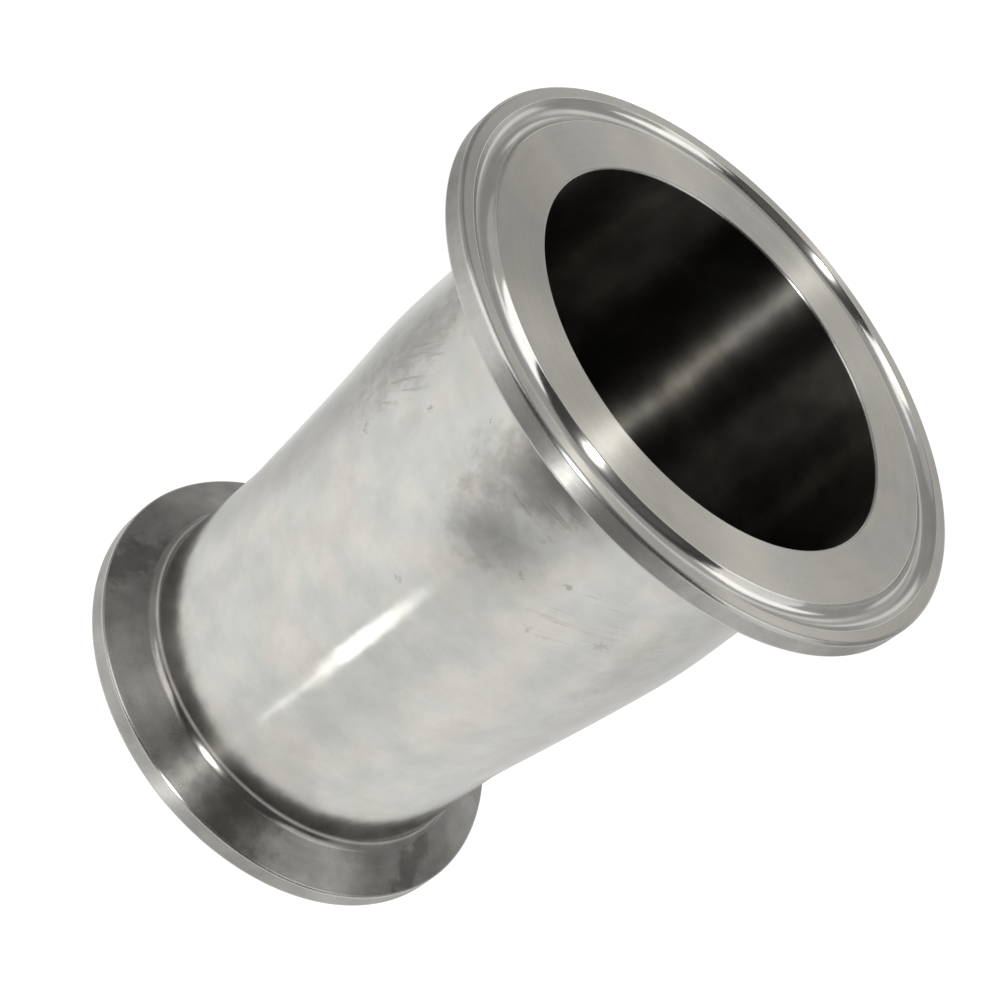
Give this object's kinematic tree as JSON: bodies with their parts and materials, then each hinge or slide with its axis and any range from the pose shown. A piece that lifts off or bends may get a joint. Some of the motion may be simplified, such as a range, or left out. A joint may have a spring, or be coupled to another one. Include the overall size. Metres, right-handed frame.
{
  "type": "sanitary clamp reducer",
  "caption": "Steel tube reducer: a short tapered pipe with a grooved clamp flange at each end, the upper one larger, its wall satin polished and its faces turned.",
  "frame": {"origin": "centre of the small clamp face, on which the reducer stands", "axes": "+Z along the axis of the bore, from the small face towards the large face; X and Y are any two directions square to it"},
  "size_m": [0.0776, 0.0774, 0.085],
  "materials": {
    "satin_steel": "ground and satin-polished tube, finely turned flange faces, dull bore"
  },
  "bodies": {
    "root": {"reducer": "satin_steel"}
  },
  "joints": []
}
